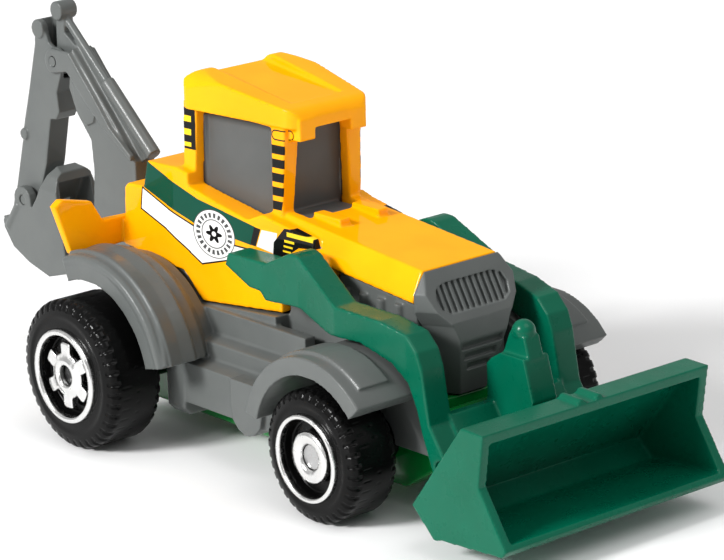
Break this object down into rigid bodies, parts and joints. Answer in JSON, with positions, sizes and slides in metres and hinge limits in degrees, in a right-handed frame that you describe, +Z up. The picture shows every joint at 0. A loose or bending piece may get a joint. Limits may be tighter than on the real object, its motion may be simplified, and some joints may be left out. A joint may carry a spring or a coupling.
{
  "type": "toy backhoe loader",
  "caption": "Toy backhoe loader with rolling wheels, a front loader with a tilting bucket, and a folding backhoe behind the cab.",
  "frame": {"origin": "on the ground, under the middle of the bounding box", "axes": "+X forward towards the loader bucket, +Y to the vehicle's left, +Z up"},
  "size_m": [0.0728, 0.0308, 0.0308],
  "materials": {
    "yellow_paint": "gloss",
    "gray_plastic": "satin",
    "green_base": "gloss",
    "green_plastic": "satin",
    "black_wheel": "gloss",
    "silver_foil": "hot-stamped foil",
    "steel": "plain"
  },
  "bodies": {
    "tractor": {"body_casting": "yellow_paint", "window_insert": "gray_plastic", "fender_moulding": "gray_plastic", "nose_grille": "gray_plastic", "base_plate": "green_base", "loader_pegs": "steel", "swing_pin": "steel"},
    "front_axle_rod": {"front_axle": "steel"},
    "rear_axle_rod": {"rear_axle": "steel"},
    "front_right_wheel": {"wheel_front_right": "black_wheel"},
    "front_left_wheel": {"wheel_front_left": "black_wheel"},
    "rear_right_wheel": {"wheel_rear_right": "black_wheel"},
    "rear_left_wheel": {"wheel_rear_left": "black_wheel"},
    "loader": {"loader_arms": "green_plastic", "bucket_pins": "green_plastic"},
    "scoop": {"loader_bucket": "green_plastic"},
    "swing": {"swing_bracket": "gray_plastic", "boom_pin": "gray_plastic"},
    "boom": {"hoe_boom": "gray_plastic", "dipper_pin": "gray_plastic"},
    "dipper": {"hoe_dipper": "gray_plastic", "hoe_bucket_pin": "gray_plastic"},
    "digging_bucket": {"hoe_bucket": "gray_plastic"}
  },
  "joints": [
    {"name": "front_axle_spin", "type": "hinge", "parent": "tractor", "child": "front_axle_rod", "pos_m": [0.01665, 0, 0.0051], "axis": [0, 1, 0], "continuous": true},
    {"name": "rear_axle_spin", "type": "hinge", "parent": "tractor", "child": "rear_axle_rod", "pos_m": [-0.00995, 0, 0.006], "axis": [0, 1, 0], "continuous": true},
    {"name": "front_right_wheel_spin", "type": "hinge", "parent": "front_axle_rod", "child": "front_right_wheel", "pos_m": [0.01665, -0.01, 0.0051], "axis": [0, 1, 0], "continuous": true},
    {"name": "front_left_wheel_spin", "type": "hinge", "parent": "front_axle_rod", "child": "front_left_wheel", "pos_m": [0.01665, 0.01, 0.0051], "axis": [0, 1, 0], "continuous": true},
    {"name": "rear_right_wheel_spin", "type": "hinge", "parent": "rear_axle_rod", "child": "rear_right_wheel", "pos_m": [-0.00995, -0.012, 0.006], "axis": [0, 1, 0], "continuous": true},
    {"name": "rear_left_wheel_spin", "type": "hinge", "parent": "rear_axle_rod", "child": "rear_left_wheel", "pos_m": [-0.00995, 0.012, 0.006], "axis": [0, 1, 0], "continuous": true},
    {"name": "loader_lift", "type": "hinge", "parent": "tractor", "child": "loader", "pos_m": [0.00925, 0, 0.0164], "axis": [0, -1, 0], "range_deg": [0, 30]},
    {"name": "bucket_tilt", "type": "hinge", "parent": "loader", "child": "scoop", "pos_m": [0.02555, 0, 0.0052], "axis": [0, 1, 0], "range_deg": [-8, 45]},
    {"name": "backhoe_swing", "type": "hinge", "parent": "tractor", "child": "swing", "pos_m": [-0.01615, 0, 0.011], "axis": [0, 0, 1], "range_deg": [-40, 40]},
    {"name": "boom_lower", "type": "hinge", "parent": "swing", "child": "boom", "pos_m": [-0.01975, 0, 0.0108], "axis": [0, -1, 0], "range_deg": [0, 30]},
    {"name": "dipper_out", "type": "hinge", "parent": "boom", "child": "dipper", "pos_m": [-0.02885, 0, 0.0258], "axis": [0, 1, 0], "range_deg": [0, 15]},
    {"name": "hoe_bucket_curl", "type": "hinge", "parent": "dipper", "child": "digging_bucket", "pos_m": [-0.03345, 0, 0.0132], "axis": [0, 1, 0], "range_deg": [0, 55]}
  ]
}
